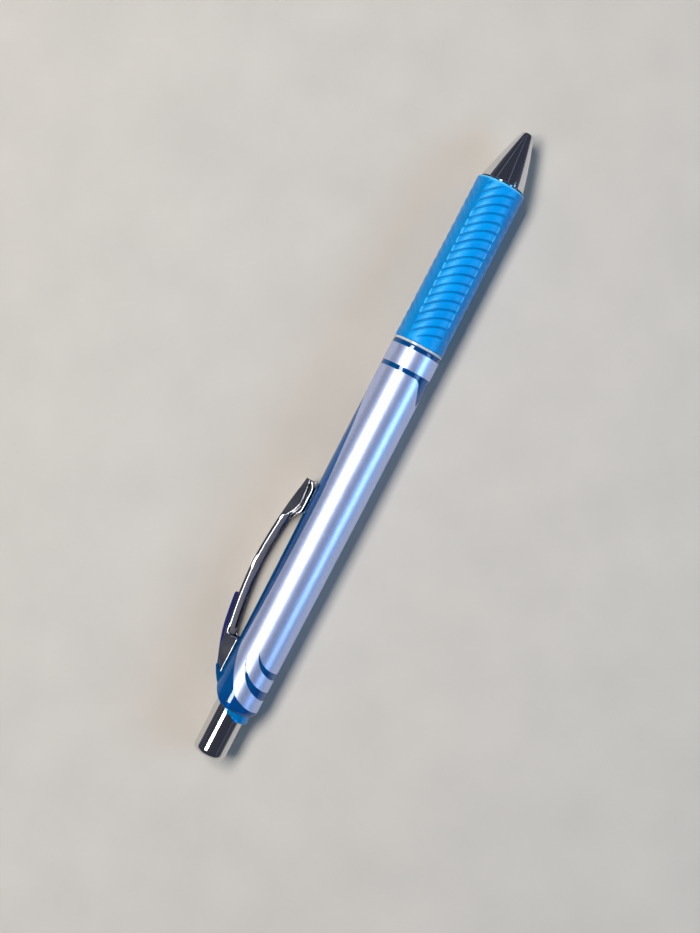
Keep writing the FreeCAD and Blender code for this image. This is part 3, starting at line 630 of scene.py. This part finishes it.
cover_blank = clip_line(-COVER_T) + list(reversed(clip_line(SKIN_GAP * -1)))
cover_top = outline((COVER_START_S, 9.0), (COVER_START_S, 9.95), (COVER_START_S + 0.5, 10.25),
                    ((118.4, 9.22), (CLIP_ROOT[0], 7.32)), (CLIP_ROOT[0], 6.5), bend=20)
cover = combine(prism("clip_cover_strip", cover_blank, -CLIP_HALF_W + 0.12, CLIP_HALF_W - 0.12, 0.0), "INTERSECT",
                prism("cover_top", cover_top, -CLIP_HALF_W + 0.12, CLIP_HALF_W - 0.12, 0.1))
finish_piece(cover, "clip", ["clip_cover"], cover_paint)


# ------------------------------------------------------------------ collar and button
collar_points = outline((SLEEVE_START_S, SLEEVE_BORE_R), (SLEEVE_START_S, SLEEVE_R), (SLEEVE_END_S - 0.5, SLEEVE_R),
                        ((SLEEVE_END_S - 0.15, SLEEVE_R - 0.15), (SLEEVE_END_S, SLEEVE_R - 0.45)),
                        (SLEEVE_END_S, NECK_R), (NECK_START_S, NECK_R), (NECK_START_S, SLEEVE_BORE_R), bend=8)
collar = combine(turned("guide_sleeve_collar", collar_points), "DIFFERENCE", rear_cut())
finish_piece(collar, "barrel", ["guide_sleeve"], collar_paint)

inner_r, flat_r = BUTTON_R - BUTTON_WALL, BUTTON_R - BUTTON_ROUND
bulge = BUTTON_ROUND * (1 - math.sqrt(0.5))
button_points = outline((BUTTON_FRONT_S, inner_r), (BUTTON_FRONT_S, BUTTON_R), (LENGTH - BUTTON_ROUND, BUTTON_R),
                        ((LENGTH - bulge, BUTTON_R - bulge), (LENGTH, flat_r)), (LENGTH, 0), (LENGTH - 0.5, 0),
                        (LENGTH - 0.5, flat_r - 0.1), (LENGTH - BUTTON_ROUND - 0.3, inner_r), bend=14)
finish_piece(turned("knock_button_cap", button_points), "knock", ["knock_button"],
             button_paint)


# ------------------------------------------------------------------ return spring
def make_spring():
    """A wire coil whose first and last turns lie nearly flat."""
    bm = bmesh.new()
    around, steps = 10, 36 * SPRING_TURNS
    front, rear = SPRING_FRONT_S + SPRING_WIRE_R + 0.02, SPRING_REAR_S - SPRING_WIRE_R - 0.02
    flat = 2.2 * SPRING_WIRE_R
    rings = []
    for k in range(steps + 1):
        turn = k / steps * SPRING_TURNS
        start, finish = min(turn, 1.0), max(0.0, turn - (SPRING_TURNS - 1))
        middle = (min(max(turn, 1.0), SPRING_TURNS - 1) - 1) / (SPRING_TURNS - 2)
        s = front + flat * (start + finish) + (rear - front - 2 * flat) * middle
        ring = []
        for j in range(around):
            bend = math.tau * j / around
            radius = SPRING_COIL_R + SPRING_WIRE_R * math.cos(bend)
            angle = math.tau * turn
            ring.append(bm.verts.new((-(s + SPRING_WIRE_R * math.sin(bend)), radius * math.sin(angle),
                                      radius * math.cos(angle))))
        rings.append(ring)
    for here, there in zip(rings, rings[1:]):
        for j in range(around):
            after = (j + 1) % around
            bm.faces.new((here[j], here[after], there[after], there[j]))
    bm.faces.new(rings[0])
    bm.faces.new(list(reversed(rings[-1])))
    return new_object("return_spring_coil", bm)


spring_paint = steel("spring_wire", (0.52, 0.53, 0.56), (0.70, 0.71, 0.74), (0.18, 0.30))
spring = finish_piece(make_spring(), "barrel", ["return_spring"], spring_paint, 60.0)
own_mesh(spring)


# ------------------------------------------------------------------ the CAD's own inner parts
inner_paints = {
    "thrust_tube": ("mechanism_plastic", moulded("thrust_tube_plastic", (0.70, 0.73, 0.76), (0.80, 0.82, 0.84))),
    "rotary_cam": ("mechanism_plastic", moulded("cam_plastic", (0.66, 0.70, 0.74), (0.76, 0.79, 0.82))),
    "refill_tail_plug": ("mechanism_plastic", moulded("plug_plastic", (0.72, 0.74, 0.76), (0.80, 0.82, 0.84))),
    "tip_holder": ("holder_plastic", moulded("holder_blue_plastic", (0.05, 0.12, 0.42), (0.08, 0.17, 0.50))),
    "writing_ball": ("ball_carbide", steel("carbide", (0.20, 0.20, 0.22), (0.30, 0.30, 0.32), (0.10, 0.2))),
    "refill_tip": ("tip_steel", steel("turned_steel", (0.55, 0.54, 0.50), (0.74, 0.72, 0.67), (0.14, 0.26), (6, 1, 1))),
    "refill_tube": ("refill_clear", clear_plastic("refill_clear_plastic", (0.78, 0.84, 0.90), (0.88, 0.92, 0.95), 0.9)),
    "gel_ink": ("ink_blue", moulded("wet_ink", (0.0, 0.01, 0.12), (0.0, 0.02, 0.20), (0.05, 0.12))),
    "ink_follower": ("follower_gel", clear_plastic("clear_grease", (0.70, 0.66, 0.42), (0.80, 0.76, 0.54), 0.6)),
}
for name, (slot, paint) in inner_paints.items():
    node = frame["nodes"][name]
    node.data.materials.clear()
    node.data.materials.append(paint.material)


# ------------------------------------------------------------------ floor, light and camera
def make_floor(half_size):
    bm = bmesh.new()
    corners = [(-half_size, -half_size, 0), (half_size, -half_size, 0), (half_size, half_size, 0),
               (-half_size, half_size, 0)]
    bm.faces.new([bm.verts.new(corner) for corner in corners])
    floor = new_object("floor", bm)
    paint = Paint("pale_floor")
    paint.colour(paint.ramp(paint.noise(60.0, 4.0), (0.50, 0.455, 0.40), (0.54, 0.49, 0.43), 0.3, 0.7))
    paint.range(paint.noise(200.0, 3.0), 0.7, 0.85)
    floor.data.materials.append(paint.material)


def area_light(name, direction, distance, width, height, power, colour=(1, 1, 1)):
    """A rectangular soft light that looks at the pen's middle from a direction."""
    data = bpy.data.lights.new(name, "AREA")
    data.shape, data.size, data.size_y, data.energy, data.color = "RECTANGLE", width, height, power, colour
    light = bpy.data.objects.new(name, data)
    light.location = Vector(direction).normalized() * distance
    light.rotation_euler = Vector(direction).to_track_quat("Z", "Y").to_euler()
    bpy.context.scene.collection.objects.link(light)


def make_world(zenith, horizon, reach):
    """A soft grey room, dark overhead, with its light low down, up to a reach between 0 and 1."""
    world = bpy.data.worlds.new("room")
    world.use_nodes = True
    tree = world.node_tree
    place = tree.nodes.new("ShaderNodeTexCoord")
    split = tree.nodes.new("ShaderNodeSeparateXYZ")
    ramp = tree.nodes.new("ShaderNodeValToRGB")
    ramp.color_ramp.elements[0].color, ramp.color_ramp.elements[1].color = (*horizon, 1), (*zenith, 1)
    ramp.color_ramp.elements[1].position = reach
    tree.links.new(place.outputs["Generated"], split.inputs["Vector"])
    tree.links.new(split.outputs["Z"], ramp.inputs["Fac"])
    tree.links.new(ramp.outputs["Color"], tree.nodes["Background"].inputs["Color"])
    bpy.context.scene.world = world


FLOOR_HALF_SIZE = 1.5
make_floor(FLOOR_HALF_SIZE)
make_world(zenith=(0.04, 0.045, 0.065), horizon=(0.10, 0.10, 0.12), reach=0.3)
area_light("key_softbox", (0.0, 0.40, 0.93), 0.9, 0.60, 0.25, 9.5)
area_light("blue_softbox", (0.22, -0.82, 0.46), 0.95, 0.76, 0.32, 4.4, (0.40, 0.67, 1.0))
area_light("line_strip", (0.041, -0.719, 0.695), 0.88, 0.115, 0.010, 0.02, (0.85, 0.93, 1.0))
# faint edges of the room, which draw fine lines along the chrome
EDGE_FORWARD, EDGE_DISTANCE, EDGE_LENGTH, EDGE_WIDTH, EDGE_POWER = 0.45, 1.1, 2.4, 0.035, 0.07
EDGES = ((-34, (0.6, 0.7, 1.0)), (-12, (1.0, 0.85, 0.7)), (52, (0.8, 0.85, 1.0)))     # (tilt in degrees, colour)
for k, (tilt, tone) in enumerate(EDGES):
    across = math.radians(tilt)
    area_light(f"room_edge_{k}", (EDGE_FORWARD, math.sin(across), math.cos(across)), EDGE_DISTANCE, EDGE_LENGTH,
               EDGE_WIDTH, EDGE_POWER, tone)
bpy.context.scene.view_settings.view_transform = "Standard"     # keeps the saturated blues

CAMERA_X, CAMERA_TOWARDS_CLIP, CAMERA_HEIGHT, CAMERA_TURN_DEG, CAMERA_LENS = -0.00572, 0.00117, 0.345, -62.63, 64.5
camera_data = bpy.data.cameras.new("camera")
camera_data.sensor_width, camera_data.lens = 36.0, CAMERA_LENS
camera_data.clip_start = 0.01
camera = bpy.data.objects.new("camera", camera_data)
camera.location = (CAMERA_X, AXIS_Y + CAMERA_TOWARDS_CLIP, AXIS_Z + CAMERA_HEIGHT)
camera.rotation_euler = (0, 0, math.radians(CAMERA_TURN_DEG))
bpy.context.scene.collection.objects.link(camera)
bpy.context.scene.camera = camera
